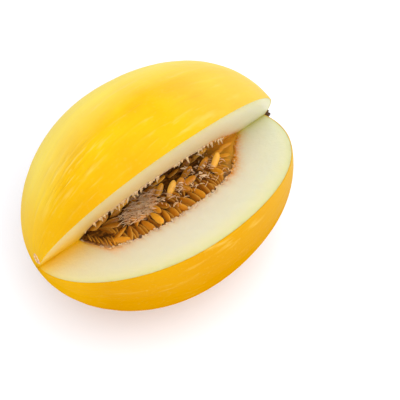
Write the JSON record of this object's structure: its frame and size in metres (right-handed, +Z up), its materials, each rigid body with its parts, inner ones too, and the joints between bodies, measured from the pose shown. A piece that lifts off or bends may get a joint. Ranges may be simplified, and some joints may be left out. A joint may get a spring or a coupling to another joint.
{
  "type": "honeydew melon",
  "caption": "Yellow honeydew melon lying on its side with one wedge cut out, showing pale flesh, a ribbed cavity and seeds in pulp.",
  "frame": {"origin": "bottom centre of the bounding box, on the surface that the melon lies on", "axes": "+X along the melon's axis toward the stem end, +Z up; the missing wedge opens toward -Y and up"},
  "size_m": [0.1888, 0.144, 0.1417],
  "materials": {
    "rind_and_flesh": "waxy yellow rind with a soft sheen; the cut flesh is moist and cream-coloured",
    "seeds_in_pulp": "wet golden-brown seeds in translucent pulp",
    "dry_stalk": "dry, matt and dark brown"
  },
  "bodies": {
    "root": {"melon_body": "rind_and_flesh", "seed_mass": "seeds_in_pulp", "stalk_stub": "dry_stalk"}
  },
  "joints": []
}
